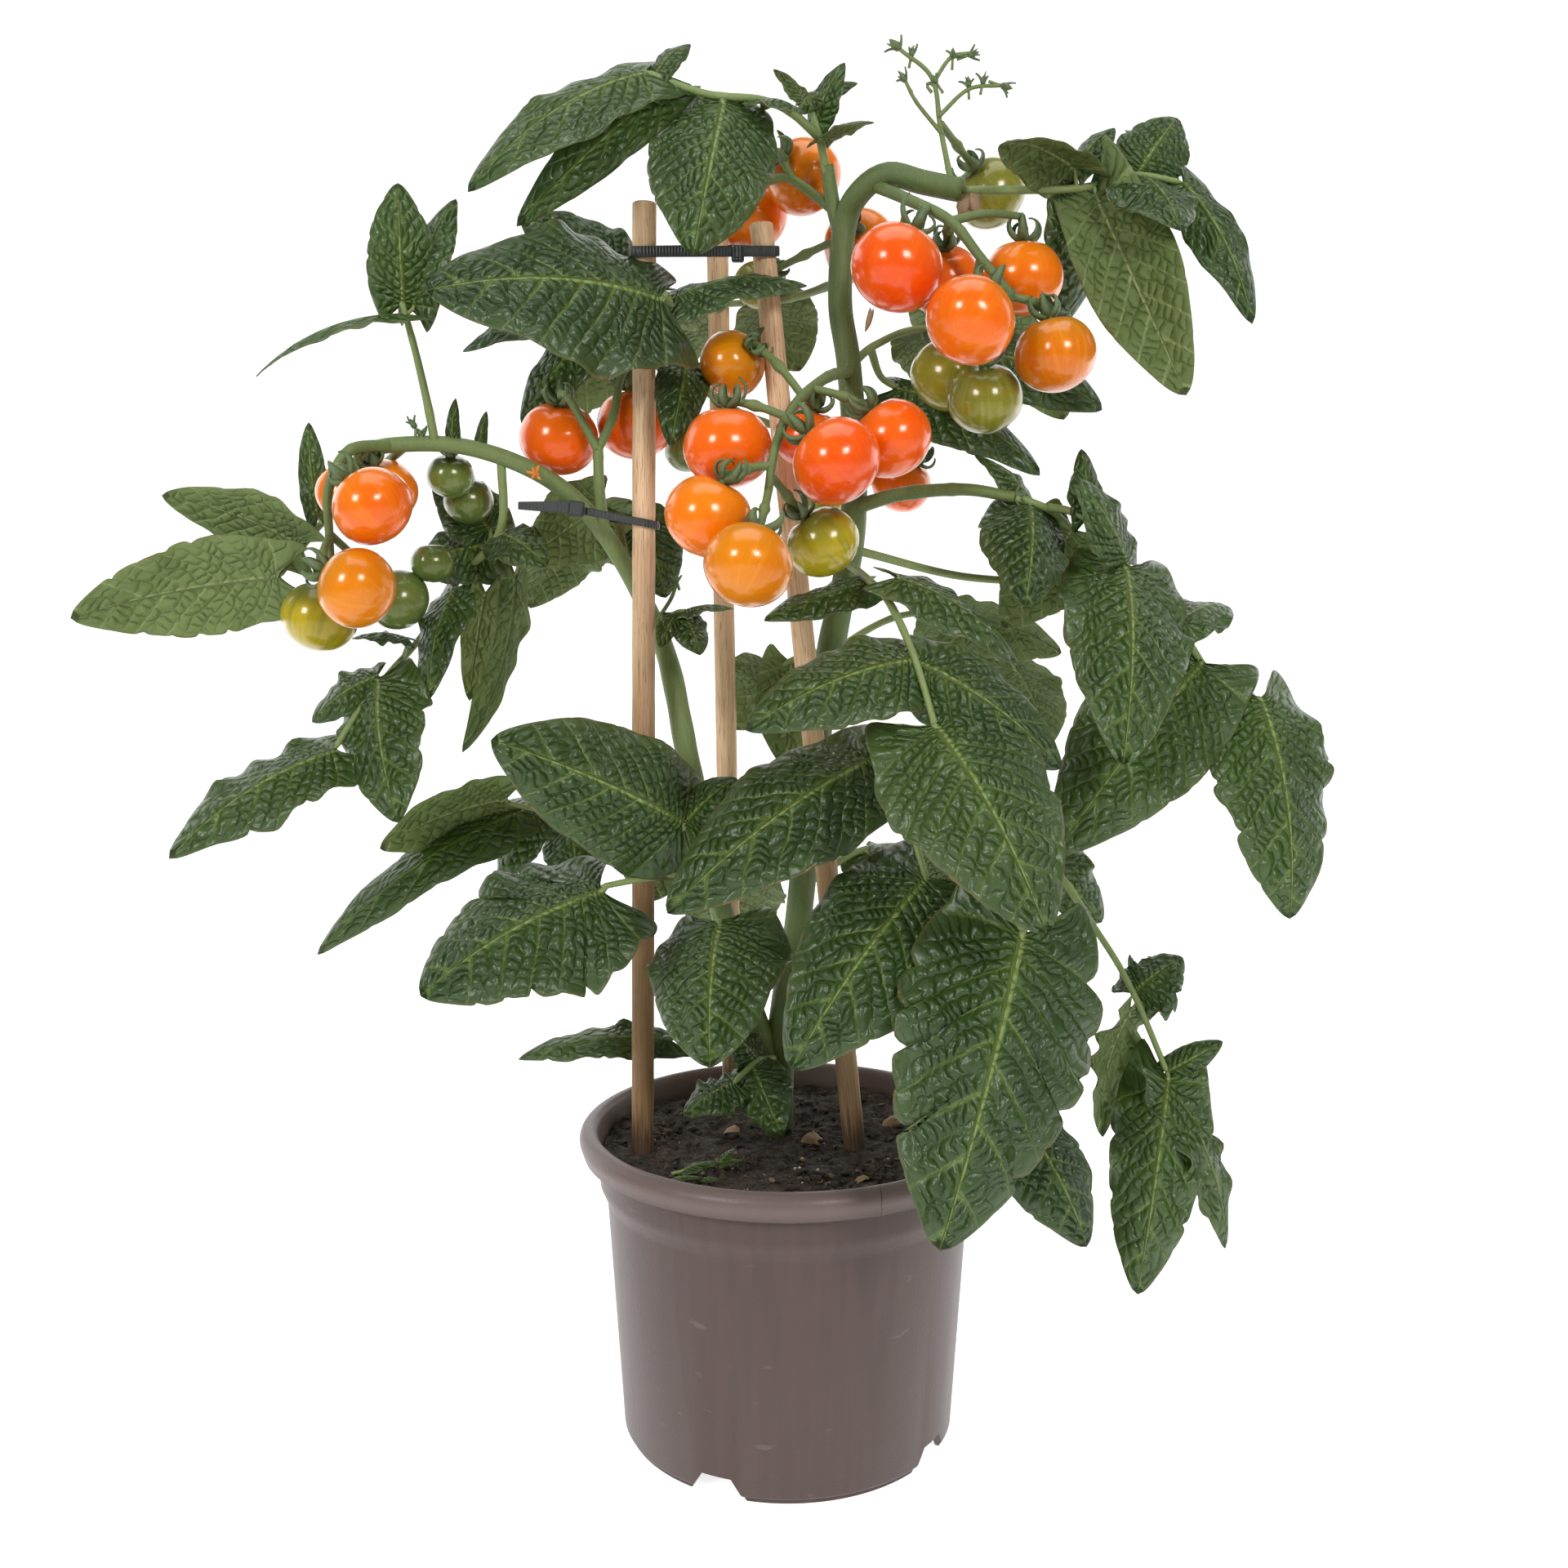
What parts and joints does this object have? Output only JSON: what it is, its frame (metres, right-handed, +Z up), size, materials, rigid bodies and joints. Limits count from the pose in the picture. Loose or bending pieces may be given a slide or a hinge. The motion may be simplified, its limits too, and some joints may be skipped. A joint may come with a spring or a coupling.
{
  "type": "cherry tomato plant in a pot",
  "caption": "Cherry tomato plant with compound leaves and trusses of orange fruit, tied to wooden stakes and standing in a rolled-rim nursery pot of soil.",
  "frame": {"origin": "middle of the flat boss under the pot, in the plane that the pot stands on", "axes": "+Z up the plant; -Y is the side that the picture shows, with +X to its right"},
  "size_m": [0.5264, 0.3088, 0.6186],
  "materials": {
    "pot_plastic": "matte",
    "soil": "matte",
    "stake_wood": "matte",
    "tie_plastic": "satin",
    "stem_green": "satin",
    "leaf_green": "satin",
    "fruit_red": "gloss",
    "fruit_orange": "gloss",
    "fruit_yellow": "gloss",
    "fruit_turning": "gloss",
    "fruit_green": "gloss"
  },
  "bodies": {
    "root": {"fruit_back_bunch": "fruit_orange", "fruit_centre_green": "fruit_green", "fruit_front_1": "fruit_red", "fruit_front_2": "fruit_orange", "fruit_front_3": "fruit_yellow", "fruit_front_4": "fruit_red", "fruit_front_5": "fruit_red", "fruit_front_6": "fruit_turning", "fruit_front_7": "fruit_yellow", "fruit_front_8": "fruit_red", "fruit_left_1": "fruit_orange", "fruit_left_2": "fruit_yellow", "fruit_left_3": "fruit_turning", "fruit_left_back": "fruit_orange", "fruit_left_green_1": "fruit_green", "fruit_left_green_2": "fruit_green", "fruit_mid_1": "fruit_red", "fruit_mid_2": "fruit_red", "fruit_mid_green": "fruit_green", "fruit_right_1": "fruit_red", "fruit_right_2": "fruit_red", "fruit_right_3": "fruit_orange", "fruit_right_4": "fruit_orange", "fruit_right_5": "fruit_yellow", "fruit_right_6": "fruit_orange", "fruit_right_green": "fruit_green", "fruit_top_1": "fruit_orange", "fruit_top_2": "fruit_orange", "fruit_top_green": "fruit_green", "leaf_back_left": "leaf_green", "leaf_back_low_left": "leaf_green", "leaf_back_low_right": "leaf_green", "leaf_back_mid": "leaf_green", "leaf_back_top_left": "leaf_green", "leaf_back_top_right": "leaf_green", "leaf_behind_truss": "leaf_green", "leaf_far_left": "leaf_green", "leaf_far_left_high": "leaf_green", "leaf_foot": "leaf_green", "leaf_front_left": "leaf_green", "leaf_front_low": "leaf_green", "leaf_front_mid": "leaf_green", "leaf_front_right": "leaf_green", "leaf_left_low": "leaf_green", "leaf_low_left": "leaf_green", "leaf_low_right": "leaf_green", "leaf_mid_left": "leaf_green", "leaf_right": "leaf_green", "leaf_right_mid": "leaf_green", "leaf_top_right": "leaf_green", "leaf_upper_left": "leaf_green", "pot": "pot_plastic", "shoot_top": "leaf_green", "soil": "soil", "stake_back": "stake_wood", "stake_left": "stake_wood", "stake_right": "stake_wood", "stem": "stem_green", "tie_branch": "tie_plastic", "tie_top": "tie_plastic"}
  },
  "joints": []
}
